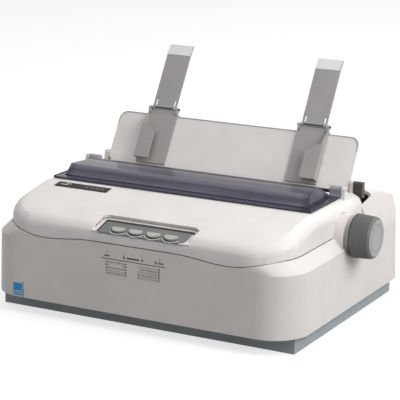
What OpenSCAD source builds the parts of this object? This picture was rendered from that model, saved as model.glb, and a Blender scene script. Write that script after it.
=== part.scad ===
// Desktop dot matrix printer with a hinged smoked cover, a single-sheet tray
// and sliding paper guides with flip-up arms.
// Millimetres. X is the printing width, +Y points to the rear, +Z is up.
// The origin is on the table, under the platen axis, midway between the sides.

/* [Housing] */
// Width over the side walls at their foot
body_w = 400; // [396:1:420]
// Depth from the front wall to the rear wall at their foot
body_d = 302; // [300:1:312]
// Wall thickness of the mouldings
wall = 3; // [2.6:0.1:3.2]
// Radius of the upright front corners
front_corner_r = 44; // [36:1:48]
// Radius of the upright rear corners
rear_corner_r = 10; // [6:1:14]
// Inward lean of each wall over its height
draft = 1.5; // [0.5:0.1:2.5]
// Height of the top deck above the table
deck_z = 140; // [139:0.5:143]
// Height at which the side walls break into the shoulder
shoulder_z = 92; // [88:1:95]

/* [Base] */
// Width of the base pan
base_w = 382; // [376:1:386]
// Set-back of the base pan behind the front wall
base_front_inset = 25.5; // [20:0.5:30]
// Set-back of the base pan from the rear wall
base_rear_inset = 3.5; // [2.5:0.5:6]
// Height of the visible base strip
base_top = 17; // [15:0.5:18]
// Thickness of the rubber feet below the pan
foot_gap = 1; // [0.8:0.1:2]

/* [Top cover] */
// Width of the top cover at the parting line
cover_w = 370; // [366:1:374]
// Radius of its front corners in plan
cover_corner_r = 50; // [42:1:56]
// Radius of the bullnose along its front and sides
bullnose_r = 16; // [13:1:17]
// Height where the front wall would meet the sloping top
lip_z = 117; // [114:1:119]
// Length of the sloping front part
slope_len = 98; // [90:1:100]
// Slope of the top just behind the front lip, in degrees
front_slope = 20; // [17:1:23]
// Distance from the front wall to the rear edge of the cover
cover_len = 217.5; // [214:0.5:220]
// Parting line height in the middle of the front
part_mid_z = 101.3; // [99:0.1:103]
// Parting line height at its two dips
part_dip_z = 96.4; // [94:0.1:99]
// Parting line height along the sides
part_side_z = 105.5; // [103:0.1:106]
// Distance of each dip from the middle
dip_x = 118; // [110:1:126]
// Joint gap along the parting line
part_gap = 0.4; // [0.3:0.1:0.6]

/* [Smoked cover] */
// Width of its frame
lid_w = 342; // [336:1:344]
// Distance from the front wall to the front edge of the frame
lid_front = 103.5; // [100:0.5:106]
// Depth of the frame from front to back
lid_d = 87; // [84:0.5:88]
// Thickness of the clear moulding
lid_t = 2.4; // [2:0.1:2.8]
// Rise of the raised hood above the deck
lid_rise = 15; // [12:0.5:17]
// Radius of the two hinge pins
lid_pin_r = 2; // [1.6:0.1:2.2]

/* [Control panel] */
// Width of the panel plate
panel_w = 111; // [104:1:114]
// Depth of the panel plate along the slope
panel_d = 23; // [21:0.5:24]
// Sideways offset of the panel from the middle
panel_x = 9; // [4:0.5:12]
// Slope of the panel, in degrees
panel_slope = 17; // [15:0.5:18]
// Distance between two buttons
button_pitch = 22.6; // [21:0.2:24]
// Width of a button
button_w = 15; // [13:0.5:16]
// Travel of a button
button_travel = 0.8; // [0.5:0.1:0.9]

/* [Platen] */
// Height of the platen axis
platen_z = 105.5; // [104.5:0.5:107]
// Distance from the front wall to the platen axis
platen_in = 161.5; // [160:0.5:162]
// Radius of the rubber roller
platen_r = 16; // [15:0.5:16.5]
// Length of the rubber roller
platen_len = 310; // [300:2:312]
// Radius of the platen shaft
shaft_r = 4; // [3.5:0.1:4.2]
// Radius of the knob at its grip
knob_r = 25.5; // [23:0.5:27]
// Length of the knob
knob_len = 25; // [22:0.5:28]
// Number of grip ribs round the knob
knob_ribs = 36; // [24:2:40]

/* [Paper tray] */
// Width of the tray panel
tray_w = 330; // [320:1:331]
// Length of the tray above its pivot
tray_len = 57; // [50:1:58]
// Thickness of the tray panel
tray_t = 2.6; // [2:0.1:3]
// Lean of the tray behind the upright, in degrees
tray_lean = 30.7; // [28:0.1:33]
// Distance from the front wall to the tray pivot
tray_in = 225.5; // [225:0.5:227]
// Height of the tray pivot
tray_z = 149; // [148:0.5:151]
// Width of each paper guide
guide_w = 41; // [38:0.5:43]
// Distance from the middle to the outer face of each guide
guide_x = 124; // [118:1:126]
// Depth of the guide channel
guide_depth = 9; // [7:0.5:10]
// Height of the arm hinge above the tray pivot, along the tray
arm_hinge = 64.7; // [63:0.1:68]
// Width of each flip-up arm
arm_w = 33; // [30:0.5:34]
// Length of each arm up to its bent tip
arm_len = 72; // [66:1:76]
// Length of the bent tip
tip_len = 14.6; // [12:0.2:16]

/* [Carriage] */
// Radius of the carriage rod
rod_r = 4; // [3.5:0.1:4.5]
// Travel of the carriage to each side of the middle
carriage_travel = 105; // [90:1:108]

/* [Gears] */
// Module of the feed gears
gear_mod = 1; // [0.95:0.01:1.02]
// Teeth of the platen gear
platen_teeth = 44; // [40:2:44]
// Teeth of the idler gear
idler_teeth = 26; // [22:2:26]
// Teeth of the feed motor pinion
pinion_teeth = 12; // [12:1:14]

/* [Hidden] */
eps = 0.01;
run_gap = 0.3;
pin_fit = 0.05;
front_y = -platen_in;
rear_y = front_y + body_d;
half_w = body_w / 2;
base_front_y = front_y + base_front_inset;
base_rear_y = rear_y - base_rear_inset;
pan_t = 2.5;
pan_floor = foot_gap + pan_t;
rib_h = 2.5;
floor_t = 2;
frame_z = pan_floor + rib_h + floor_t;
name_w = 72;
ring_t = 3.5;
cover_hw = cover_w / 2;
cover_rear_y = front_y + cover_len;
shoulder_top = part_side_z + 0.5;
hood_gap = 0.5;
hood_y = cover_rear_y + hood_gap;
hood_rear_z = 124;
hood_lean = 10;
slot_rear_y = front_y + 236;
slot_hw = 168;
lid_front_y = front_y + lid_front;
lid_rear_y = lid_front_y + lid_d;
lid_hw = lid_w / 2;
lid_seat = deck_z + run_gap;
lid_hinge_y = lid_rear_y - 2;
lid_hinge_z = lid_seat + 9.5;
label_seat = 0.2;
lug_w = 4.5;
tray_y = front_y + tray_in;
guide_t = 2;
arm_t = 2.2;
arm_y = -tray_t / 2 - run_gap - guide_t / 2 - 1.2;
pin_r = 1.3;
barrel_r = 2.6;
frame_x = 169;
frame_t = 2;
frame_top_z = 124;
frame_front_y = -92;
frame_rear_y = 78;
shelf_z = 101;
rod_y = -40;
rod_z = 78;
carriage_top = rod_z + 10;
belt_z = 58;
drive_top_z = belt_z - 5;
belt_y = -58;
pulley_r = 8;
pulley_x = 148;
belt_t = 1.2;
belt_h = 6;
bail_roller_r = 6;
bail_reach = platen_r + bail_roller_r + run_gap;
bail_y = -bail_reach / 2;
bail_z = platen_z + bail_reach * sin(60);
bail_pivot_y = 24;
bail_pivot_z = 112;
lever_x = 172;
lever_w = 11;
lever_y = cover_rear_y + 7;
lever_z = 97;
gear_w = 5;
gear_x = -frame_x - frame_t - run_gap;
idler_angle = -52;
gear_play = 0.25;
pinion_bore = 1.5;
drive_shaft_r = 2.5;
idler_r_sum = gear_mod * (platen_teeth + idler_teeth) / 2 + gear_play;
idler_y = idler_r_sum * cos(idler_angle);
idler_z = platen_z + idler_r_sum * sin(idler_angle);
pinion_angle = -75;
pinion_r_sum = gear_mod * (idler_teeth + pinion_teeth) / 2 + gear_play;
pinion_y = idler_y + pinion_r_sum * cos(pinion_angle);
pinion_z = idler_z + pinion_r_sum * sin(pinion_angle);
// turns that put a tooth of each gear into a gap of the next
platen_turn = idler_angle + 90;
idler_turn = idler_angle + 270 + 180 / idler_teeth;
idler_pitch = 360 / idler_teeth;
mesh_turn = pinion_angle + 90;
mesh_lead = idler_turn - mesh_turn - idler_pitch * round((idler_turn - mesh_turn) / idler_pitch);
pinion_turn = mesh_turn + 180 - mesh_lead * idler_teeth / pinion_teeth + 180 / pinion_teeth;
knob_x = half_w + 2.5;
boss_x = knob_x - 1.2;
boss_r = 19;
boss_foot_r = 24;
ring_hw = base_w / 2 - 17;
rocker_y = rear_y - 6;
rocker_z = 35;
rocker_pin_r = 1;
rocker_tilt = 7;
screw_x = base_w / 2 - 14;
screw_front_y = base_front_y + 14;
screw_rear_y = base_rear_y - 14;
screw_r = 1.6;

white = [0.93, 0.92, 0.9];
warm_grey = [0.86, 0.85, 0.83];
mid_grey = [0.6, 0.59, 0.57];
dark_grey = [0.27, 0.28, 0.28];
black = [0.1, 0.1, 0.11];
steel = [0.72, 0.73, 0.75];
smoke = [0.3, 0.29, 0.36, 0.6];

// ---------- outlines ----------

// Points of an arc about [cx, cy], from angle a0 to a1
function arc(cx, cy, r, a0, a1, n) =
    [for (i = [0:n]) let (a = a0 + (a1 - a0) * i / n) [cx + r * cos(a), cy + r * sin(a)]];

// Plan outline with large front corners and smaller rear corners
function plan(hw, yf, yr, rf, rr, n = 10) =
    concat(arc(-hw + rf, yf + rf, rf, 180, 270, n), arc(hw - rf, yf + rf, rf, 270, 360, n),
           arc(hw - rr, yr - rr, rr, 0, 90, 4), arc(-hw + rr, yr - rr, rr, 90, 180, 4));

// Smooth step from a to b as t goes from 0 to 1
function ease(a, b, t) = a + (b - a) * (1 - cos(180 * min(1, max(0, t)))) / 2;

// Height of the parting line across the width
function part_z(x) =
    abs(x) < dip_x ? ease(part_mid_z, part_dip_z, (abs(x) - 55) / (dip_x - 55))
                   : ease(part_dip_z, part_side_z, (abs(x) - dip_x) / (cover_hw - dip_x));

// Quadratic curve through two end points with one control point
function curve(a, b, c, n) =
    [for (i = [0:n]) let (t = i / n) (1 - t) * (1 - t) * a + 2 * t * (1 - t) * b + t * t * c];

// Top line of the cover, seen from the side, lowered by drop
function top_line(drop) =
    curve([front_y, lip_z - drop], [front_y + 0.42 * slope_len,
          lip_z + 0.42 * slope_len * tan(front_slope) - drop],
          [front_y + slope_len, deck_z - drop], 10);

module slab(z, t, pts) translate([0, 0, z]) linear_extrude(t) polygon(pts);

// Profile in the YZ plane, extruded over a width centred on x
module side_profile(pts, x, w) translate([x - w / 2, 0, 0])
    rotate([90, 0, 90]) linear_extrude(w) polygon(pts);

// Cylinder along X from x0 to x1
module x_rod(x0, x1, r, y, z, fn = 32) translate([x0, y, z])
    rotate([0, 90, 0]) cylinder(h = x1 - x0, r = r, $fn = fn);

// Box by its two corners
module span(a, b) translate(a) cube(b - a);

// Both sides, mirrored about the middle plane
module both() {
    children();
    mirror([1, 0, 0]) children();
}

// ---------- housing ----------

// Space below the parting line, out to the sides
module below_parting(lift, y0, y1) {
    step = cover_hw / 24;
    xs = [for (i = [-24:24]) i * step];
    pts = concat([[-half_w - 5, 20], [half_w + 5, 20], [half_w + 5, part_side_z + lift]],
                 [for (i = [48:-1:0]) [xs[i], part_z(xs[i]) + lift]],
                 [[-half_w - 5, part_side_z + lift]]);
    translate([0, y1, 0]) rotate([90, 0, 0]) linear_extrude(y1 - y0) polygon(pts);
}

// Outer form of the lower housing: walls with draft and the sloping shoulder
module case_form(inset, z0) {
    hull() {
        slab(z0, eps, plan(half_w - inset, front_y + inset, rear_y - inset,
             front_corner_r - inset, rear_corner_r - inset / 2));
        slab(shoulder_z, eps, plan(half_w - draft - inset, front_y + draft + inset,
             rear_y - draft - inset, front_corner_r - inset, rear_corner_r - inset / 2));
        slab(shoulder_top + inset, eps, plan(cover_hw - inset, front_y + draft + inset,
             rear_y - draft - inset, cover_corner_r - inset, rear_corner_r - inset / 2));
    }
}

// Cross-section of the rear hood, a point list for one side mirrored to the other
function hood_section(pts) = concat([[-pts[0][0], 60], [pts[0][0], 60]], pts,
    [for (i = [len(pts) - 1:-1:0]) [-pts[i][0], pts[i][1]]]);

// One thin slice of the rear hood at depth y
module hood_slice(y, pts) translate([0, y, 0]) rotate([90, 0, 0])
    linear_extrude(eps) polygon(hood_section(pts));

// Raised rear part of the housing: its sides lean in and its deck falls to the rear
module hood_form(inset, y0) {
    hw = half_w - draft - inset;
    top = deck_z - inset;
    drop = deck_z - hood_rear_z;
    y1 = rear_y - draft - inset;
    intersection() {
        hull() {
            hood_slice(y0, [[hw, shoulder_z], [cover_hw - inset, top - bullnose_r],
                            [cover_hw - 4.7 - inset, top - 4.7], [cover_hw - bullnose_r - inset, top]]);
            hood_slice(y0 + (y1 - y0) * 0.28, [[hw, shoulder_z + 2], [cover_hw + 1 - inset, top - 15],
                            [cover_hw - 3 - inset, top - 4.5], [cover_hw - 12 - inset, top - 1]]);
            hood_slice(y0 + (y1 - y0) * 0.6, [[hw, shoulder_z + 5], [cover_hw + 3 - inset, top - 15],
                            [cover_hw - inset, top - 7.5], [cover_hw - 8 - inset, top - 5.5]]);
            hood_slice(y1, [[hw, shoulder_z + 8], [half_w - hood_lean - inset, top - drop - 2],
                            [half_w - hood_lean - 2 - inset, top - drop]]);
        }
        slab(50, 100, plan(hw, front_y, y1, front_corner_r, rear_corner_r - inset / 2));
    }
}

module lower_case() color(warm_grey) {
    vent_pitch = 7;
    difference() {
        union() {
            difference() {
                union() {
                    intersection() {
                        case_form(0, base_top);
                        below_parting(0, front_y - 5, rear_y + 5);
                    }
                    hood_form(0, hood_y);
                }
                case_form(wall, base_top + ring_t);
                hood_form(wall, hood_y - 1);
                span([-slot_hw, hood_y - 5, 70], [slot_hw, slot_rear_y, deck_z + 5]);
            }
            case_screw_posts();
            tray_lugs();
            knob_boss(0);
        }
        // opening in the underside over the base pan, clear of the screw posts
        span([-ring_hw, screw_front_y + 14, base_top - 1], [ring_hw, screw_rear_y - 14, base_top + ring_t + 1]);
        span([-ring_hw + 12, base_front_y + 6, base_top - 1],
             [ring_hw - 12, base_rear_y - 6, base_top + ring_t + 1]);
        // hollow of the knob boss and its hole for the platen shaft
        x_rod(cover_hw - 15, boss_x - wall, boss_r - wall, 0, platen_z);
        x_rod(half_w - 25, half_w + 5, shaft_r + 2, 0, platen_z);
        // slot for the release lever
        span([lever_x - 0.8, lever_y - 5.5, deck_z - 14], [lever_x + lever_w + 0.8, lever_y + 22, deck_z + 3]);
        label_place() translate([0, 0.5 - label_seat, 0]) cube([15.2, 1, 17.7], center = true);
        screw_places() translate([0, 0, base_top - 1]) cylinder(h = 12, r = screw_r, $fn = 24);
        // ventilation slots and connector openings in the rear wall
        for (i = [0:15]) span([20 + i * vent_pitch, rear_y - 6, 52],
                              [23.5 + i * vent_pitch, rear_y + 1, 82]);
        port_space(0.4);
        inlet_space(0.4);
        switch_space(0.4);
    }
}

// Flared boss on the right side that the knob stands against, grown by g
module knob_boss(g) translate([cover_hw - wall, 0, platen_z]) rotate([0, 90, 0])
    rotate_extrude($fn = 64) polygon(concat([[0, 0], [boss_foot_r + g, 0]],
        [for (p = arc(boss_foot_r + g, boss_x - cover_hw + wall, boss_foot_r - boss_r, 270, 180, 6))
         [p[0], max(wall, p[1])]],
        [[0, boss_x - cover_hw + wall]]));

module screw_places() {
    for (sx = [-1, 1], y = [screw_front_y, screw_rear_y])
        translate([sx * screw_x, y, 0]) children();
}

module case_screw_posts() {
    screw_places() translate([0, 0, base_top + ring_t - 1]) cylinder(h = 10, r = 4.5, $fn = 32);
}

// Upright lugs beside the tray, bored for its pivot pins
module tray_lugs() {
    both() difference() {
        union() {
            side_profile([[tray_y - 6, deck_z - 5], [tray_y + 6, deck_z - 5],
                          [tray_y + 4, tray_z + 2], [tray_y - 4, tray_z + 2]],
                         slot_hw + lug_w / 2 - 1.5, lug_w);
            x_rod(slot_hw - 1.5, slot_hw + lug_w - 1.5, 4, tray_y, tray_z);
        }
        x_rod(slot_hw - 5, slot_hw + lug_w + 5, pin_r + 0.7 + pin_fit, tray_y, tray_z);
    }
}

module base_pan() color(dark_grey) {
    difference() {
        union() {
            difference() {
                span([-base_w / 2, base_front_y, foot_gap], [base_w / 2, base_rear_y, base_top]);
                span([-base_w / 2 + 3, base_front_y + 3, pan_floor],
                     [base_w / 2 - 3, base_rear_y - 3, base_top + 1]);
            }
            screw_places() translate([0, 0, pan_floor - 0.5])
                cylinder(h = base_top - pan_floor + 0.5, r = 5, $fn = 32);
            // stiffening ribs on the floor
            for (x = [-120, 0, 120])
                span([x - 1, base_front_y + 20, pan_floor - 0.5], [x + 1, frame_rear_y, pan_floor + rib_h]);
        }
        screw_places() {
            translate([0, 0, foot_gap - 1]) cylinder(h = base_top + 1, r = screw_r + 0.2, $fn = 24);
            translate([0, 0, foot_gap - 1]) cylinder(h = 4, r = 3.6, $fn = 24);
        }
        foot_places() translate([0, 0, foot_gap - eps]) cylinder(h = 1, r = 8, $fn = 32);
    }
}

module foot_places() {
    for (sx = [-1, 1], y = [base_front_y + 34, base_rear_y - 34])
        translate([sx * (base_w / 2 - 34), y, 0]) children();
}

module rubber_feet() color(black)
    foot_places() {
        cylinder(h = foot_gap + 1 - eps, r = 7.8, $fn = 32);
    }

module case_screws() color(steel)
    screw_places() difference() {
        union() {
            translate([0, 0, foot_gap + 1]) cylinder(h = 2, r = 3.2, $fn = 24);
            translate([0, 0, foot_gap + 1]) cylinder(h = base_top + 6, r = screw_r - 0.02, $fn = 24);
        }
        for (a = [0, 90]) rotate([0, 0, a])
            translate([-2, -0.4, foot_gap]) cube([4, 0.8, 1.9]);
    }

// Solid of the top cover: plan outline and top line, rounded by a bullnose of radius r
module cover_form(r) {
    minkowski() {
        intersection() {
            slab(60, 100, plan(cover_hw - bullnose_r, front_y + draft + bullnose_r,
                 cover_rear_y + 30, cover_corner_r - bullnose_r, 2, 8));
            side_profile(concat(top_line(bullnose_r), [[cover_rear_y + 30, deck_z - bullnose_r],
                         [cover_rear_y + 30, 60], [front_y, 60]]), 0, body_w);
        }
        sphere(r = r, $fn = 20);
    }
}

// Place of the control panel: local XY lies in the panel, local Z is its normal
module on_panel() translate([panel_x, front_y + 12.5, 117.2])
    rotate([panel_slope, 0, 0]) children();

// Outline of the panel with cut corners, grown by g
function panel_outline(g) = let (w = panel_w / 2 + g, d = panel_d / 2 + g, c = 6)
    [[-w + 1, -d], [w - c, -d], [w, -d + c], [w, d - 1], [w - 1, d],
     [-w + c, d], [-w, d - c], [-w, -d + 1]];

module top_cover() color(white) {
    dish = [[-panel_w / 2 - 9, -30], [panel_w / 2 + 4, -30], [panel_w / 2 + 8, 14],
            [panel_w / 2 + 1, 19], [-panel_w / 2 - 1, 19], [-panel_w / 2 - 7, 14]];
    difference() {
        union() {
            difference() {
                cover_form(bullnose_r);
                cover_form(bullnose_r - wall);
            }
            // carrier under the panel
            intersection() {
                on_panel() translate([0, 0, -5.5]) linear_extrude(6) polygon(panel_outline(6));
                cover_form(bullnose_r - 1);
            }
            // rear bar behind the smoked cover, with its hinge lugs
            span([-cover_hw + 8, lid_rear_y + 2, deck_z - 6], [cover_hw - 8, lid_rear_y + 16, deck_z - 0.5]);
            lid_lugs();
        }
        below_parting(part_gap, front_y - 10, cover_rear_y + 60);
        span([-half_w, cover_rear_y, 50], [half_w, cover_rear_y + 80, deck_z + 40]);
        // opening under the smoked cover
        span([-lid_hw + 6, lid_front_y + 6, deck_z - 10], [lid_hw - 6, lid_rear_y + 2, deck_z + 2]);
        // paper slot behind the rear bar
        span([-slot_hw + 2, lid_rear_y + 16, deck_z - 20], [slot_hw - 2, cover_rear_y + 5, deck_z + 2]);
        // notch for the knob boss
        x_rod(cover_hw - 15, half_w + 5, boss_foot_r + part_gap, 0, platen_z, 64);
        // dish round the panel, pocket for the panel plate and button windows
        on_panel() {
            linear_extrude(30) polygon(dish);
            translate([0, 0, -1.2]) linear_extrude(3) polygon(panel_outline(0.15));
            for (i = [0:3]) translate([(i - 1.5) * button_pitch, -1.5, -7])
                linear_extrude(8) polygon(button_outline(0.3));
        }
        // shallow seat for the nameplate
        name_place() cube([name_w + 0.6, 13.6, 2], center = true);
    }
}

// Upright lugs on the deck, bored for the pins of the smoked cover
module lid_lugs() {
    both() difference() {
        union() {
            side_profile([[lid_hinge_y - 5, deck_z - 4], [lid_hinge_y + 7, deck_z - 4],
                          [lid_hinge_y + 4, lid_hinge_z + 1], [lid_hinge_y - 4, lid_hinge_z + 1]],
                         lid_hw + 1 + lug_w / 2, lug_w);
            x_rod(lid_hw + 1, lid_hw + 1 + lug_w, 4, lid_hinge_y, lid_hinge_z);
        }
        x_rod(lid_hw - 5, lid_hw + 12, lid_pin_r - 0.02, lid_hinge_y, lid_hinge_z);
    }
}

module lid_pin() color(steel)
    x_rod(lid_hw - 6, lid_hw + 1 + lug_w, lid_pin_r - 0.02, lid_hinge_y, lid_hinge_z);

// Seat of the nameplate, on the flat part of the deck
module name_place() translate([-119, front_y + 86, deck_z - 1.6])
    rotate([8.3, 0, 0]) children();

module nameplate() color(black)
    name_place() translate([0, 0, -0.2]) cube([name_w, 13, 1.6], center = true);

// Seat of the front label, on the leaning front wall
module label_place() translate([-155, front_y + draft * (29.5 - base_top) / (shoulder_z - base_top), 29.5])
    rotate([-atan(draft / (shoulder_z - base_top)), 0, 0]) children();

module front_label() color([0.1, 0.45, 0.75])
    label_place() translate([0, 0.25 - label_seat - 0.3, 0]) cube([14.6, 0.5, 17], center = true);

// ---------- smoked cover ----------

// Raised hood of the cover: four-sided form whose ends lean in to the rear
module lid_hood(d) {
    z0 = lid_seat + lid_t;
    hull() {
        translate([0, 0, d > 0 ? -3 : 0]) linear_extrude(eps)
            polygon([for (p = [[-1, 12], [1, 12], [1, lid_d - 12], [-1, lid_d - 12]])
                [p[0] * (lid_hw - 9 - d), lid_front_y + p[1] + (p[1] < 20 ? d : -d)]]);
        translate([0, 0, z0 - lid_seat - eps]) linear_extrude(eps)
            polygon([for (p = [[-1, 12], [1, 12], [1, lid_d - 12], [-1, lid_d - 12]])
                [p[0] * (lid_hw - 9 - d), lid_front_y + p[1] + (p[1] < 20 ? d : -d)]]);
        translate([0, 0, lid_rise - d]) linear_extrude(eps)
            polygon([for (p = [[-11, 22.5], [11, 22.5], [19, lid_d - 25], [-19, lid_d - 25]])
                [sign(p[0]) * (lid_hw - abs(p[0]) - d * 0.6),
                 lid_front_y + p[1] + (p[1] < 30 ? d * 0.6 : -d * 0.4)]]);
    }
}

module smoked_cover() color(smoke) {
    difference() {
        union() {
            span([-lid_hw, lid_front_y, lid_seat], [lid_hw, lid_rear_y - 6, lid_seat + lid_t]);
            translate([0, 0, lid_seat]) lid_hood(0);
            // hinge tabs at the rear corners
            both() {
                span([lid_hw - 14, lid_rear_y - 16, lid_seat], [lid_hw, lid_rear_y - 3, lid_seat + lid_t]);
                side_profile([[lid_hinge_y - 4, lid_seat], [lid_hinge_y, lid_seat],
                              [lid_hinge_y + 4, lid_hinge_z - 4], [lid_hinge_y + 4, lid_hinge_z],
                              [lid_hinge_y - 4, lid_hinge_z]], lid_hw - 7, 14);
                x_rod(lid_hw - 14, lid_hw, 4, lid_hinge_y, lid_hinge_z);
            }
        }
        translate([0, 0, lid_seat]) lid_hood(lid_t);
        both() x_rod(lid_hw - 8, lid_hw + 5, lid_pin_r + pin_fit, lid_hinge_y, lid_hinge_z);
    }
}

// ---------- control panel ----------

function button_outline(g) = let (w = button_w / 2 + g, d = 3.4 + g)
    concat(arc(w - d, 0, d, -90, 90, 8), arc(-w + d, 0, d, 90, 270, 8));

module panel_plate() color(mid_grey)
    on_panel() difference() {
        translate([0, 0, -1.2 + eps]) linear_extrude(1) polygon(panel_outline(0));
        for (i = [0:3]) translate([(i - 1.5) * button_pitch, -1.5, -3])
            linear_extrude(8) polygon(button_outline(0.3));
    }

module button(i) color(white)
    on_panel() translate([(i - 2.5) * button_pitch, -1.5, 0]) {
        translate([0, 0, -7]) linear_extrude(8.3) polygon(button_outline(0));
        translate([0, 0, -7]) linear_extrude(1.2) polygon(button_outline(1.2));
    }

// Circuit board behind the buttons, hung from the panel carrier by two posts
module panel_board() color([0.15, 0.4, 0.25])
    on_panel() {
        translate([-panel_w / 2 + 4, -8, -10]) cube([panel_w - 8, 16, 1.6]);
        for (x = [-panel_w / 2 + 7, panel_w / 2 - 7])
            translate([x, 0, -9]) cylinder(h = 3.5, r = 2, $fn = 24);
    }

// ---------- printing mechanism ----------

// Side plate of the mechanism, standing on the frame floor
module frame_plate() {
    difference() {
        side_profile([[frame_front_y, frame_z], [frame_rear_y, frame_z], [frame_rear_y, shelf_z - 9],
                      [50, frame_top_z], [-20, frame_top_z], [-34, shelf_z], [frame_front_y, shelf_z]],
                     frame_x + frame_t / 2, frame_t);
        x_rod(frame_x - 5, frame_x + 9, shaft_r + 3, 0, platen_z);
        x_rod(frame_x - 5, frame_x + 9, rod_r, rod_y, rod_z);
        x_rod(frame_x - 5, frame_x + 9, 1.98, bail_pivot_y, bail_pivot_z);
        span([frame_x - 5, -30, 40], [frame_x + 9, 8, 64]);
    }
}

module frame_left() color(steel) mirror([1, 0, 0])
    difference() {
        frame_plate();
        x_rod(frame_x - 5, frame_x + 9, 2.48, idler_y, idler_z);
        x_rod(frame_x - 5, frame_x + 9, 6, pinion_y, pinion_z);
    }

module frame_right() color(steel)
    difference() {
        frame_plate();
        x_rod(frame_x - 5, frame_x + 9, 2.98, lever_y, lever_z);
    }

module frame_floor() color(steel)
    difference() {
        span([-frame_x - frame_t, frame_front_y, frame_z - floor_t],
             [frame_x + frame_t, frame_rear_y, frame_z]);
        translate([pulley_x, belt_y, 0]) cylinder_at(0, 30, drive_shaft_r);
    }

module platen_shaft() color(steel)
    x_rod(-frame_x - frame_t - gear_w - 3, knob_x + knob_len - 4, shaft_r, 0, platen_z, 48);

module platen_bushes() color([0.9, 0.89, 0.85])
    both() difference() {
        union() {
            x_rod(frame_x - 2, frame_x + frame_t, shaft_r + 3, 0, platen_z);
            x_rod(frame_x - 2, frame_x, shaft_r + 4.5, 0, platen_z);
        }
        x_rod(frame_x - 5, frame_x + 9, shaft_r + pin_fit, 0, platen_z, 48);
    }

module platen_roller() color([0.13, 0.13, 0.14])
    difference() {
        x_rod(-platen_len / 2, platen_len / 2, platen_r, 0, platen_z, 64);
        x_rod(-platen_len / 2 - 1, platen_len / 2 + 1, shaft_r, 0, platen_z, 48);
    }

module platen_knob() color(mid_grey)
    translate([knob_x, 0, platen_z]) rotate([0, 90, 0]) difference() {
        union() {
            rotate_extrude($fn = 72) polygon(concat([[0, 0], [knob_r - 0.4, 0], [knob_r, 1.5]],
                [[knob_r - 1.4, knob_len - 3.5]],
                [for (i = [1:4]) [knob_r - 4.9 + 3.5 * cos(i * 22.5), knob_len - 3.5 + 3.5 * sin(i * 22.5)]],
                [[0, knob_len]]));
            for (i = [0:knob_ribs - 1]) rotate([0, 0, i * 360 / knob_ribs])
                translate([knob_r - 2.2, -0.7, 2]) cube([2.2, 1.4, knob_len - 6]);
        }
        translate([0, 0, -1]) cylinder(h = knob_len - 3, r = shaft_r, $fn = 48);
        // hollow inside of the grip
        translate([0, 0, -1]) difference() {
            cylinder(h = knob_len - 4, r = knob_r - 4.5, $fn = 64);
            cylinder(h = knob_len, r = shaft_r + 3, $fn = 48);
        }
        // shallow finger dish in the face
        translate([0, 0, knob_len + 23.4]) sphere(r = 25, $fn = 64);
    }

// Spur gear about Z with straight-flanked teeth
module gear(teeth, w, bore) {
    r = gear_mod * teeth / 2;
    difference() {
        linear_extrude(w) polygon([for (i = [0:teeth - 1], p = [[-0.3, -1.2], [-0.14, 0.95], [0.14, 0.95], [0.3, -1.2]])
            let (a = (i + p[0]) * 360 / teeth, q = r + p[1] * gear_mod) [q * cos(a), q * sin(a)]]);
        translate([0, 0, -1]) cylinder(h = w + 2, r = bore, $fn = 48);
        if (r > 16) for (i = [0:4]) rotate([0, 0, i * 72])
            translate([r * 0.58, 0, -1]) cylinder(h = w + 2, r = r * 0.2, $fn = 32);
    }
}

// Gear standing on a shaft along X, outside the left side plate
module gear_at(teeth, y, z, bore, turn)
    translate([gear_x - gear_w, y, z]) rotate([0, 90, 0]) rotate([0, 0, turn]) gear(teeth, gear_w, bore);

module platen_gear() color([0.88, 0.87, 0.82])
    gear_at(platen_teeth, 0, platen_z, shaft_r, platen_turn);

module idler_gear() color([0.88, 0.87, 0.82])
    gear_at(idler_teeth, idler_y, idler_z, 2.5 + pin_fit, idler_turn);

module idler_stud() color(steel)
    x_rod(gear_x - gear_w - 0.6, -frame_x, 2.48, idler_y, idler_z);

// Pinion with the motor shaft that it is pressed on
module feed_pinion() color(steel) {
    gear_at(pinion_teeth, pinion_y, pinion_z, pinion_bore, pinion_turn);
    x_rod(gear_x - gear_w, -frame_x + 20, pinion_bore, pinion_y, pinion_z);
}

// Stepper motor inside the left side plate, with its nose in the plate
module feed_motor() color([0.35, 0.35, 0.37])
    difference() {
        union() {
            x_rod(-frame_x + eps, -frame_x + 24, 17, pinion_y, pinion_z);
            x_rod(-frame_x - 1.5, -frame_x + 1, 5, pinion_y, pinion_z);
            for (s = [-1, 1]) translate([-frame_x + eps, pinion_y - 4 + s * 20, pinion_z - 4])
                cube([1.5, 8, 8]);
        }
        x_rod(-frame_x - 5, -frame_x + 21, pinion_bore + pin_fit, pinion_y, pinion_z);
    }

module carriage_rod() color(steel)
    x_rod(-frame_x - frame_t, frame_x + frame_t, rod_r - 0.02, rod_y, rod_z);

// Folded rail that carries the front of the carriage
module guide_rail() color(steel)
    side_profile([for (p = [[-74, -8], [-66, -8], [-66, -6], [-72, -6], [-72, 6], [-74, 6]])
                  [p[0], rod_z + p[1]]], 0, frame_x * 2);

module carriage() color(dark_grey)
    difference() {
        clamp_y = belt_y + pulley_r;
        union() {
            side_profile([[-63.5, rod_z - 5], [-32, rod_z - 5], [-30, rod_z + 6],
                          [-34, carriage_top], [-63.5, carriage_top]], 0, 44);
            x_rod(-24, 24, rod_r + 4, rod_y, rod_z);
            // shoe on the folded rail
            span([-12, -70, rod_z - 6 + run_gap], [12, -62, rod_z - 3]);
            // clamp down to the belt
            span([-8, clamp_y - 3, belt_z - 1.5], [8, clamp_y + 4, rod_z - 4]);
        }
        x_rod(-30, 30, rod_r + pin_fit, rod_y, rod_z);
        span([-9, clamp_y - run_gap, belt_z - run_gap], [9, clamp_y + belt_t + run_gap, belt_z + belt_h + run_gap]);
    }

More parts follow.
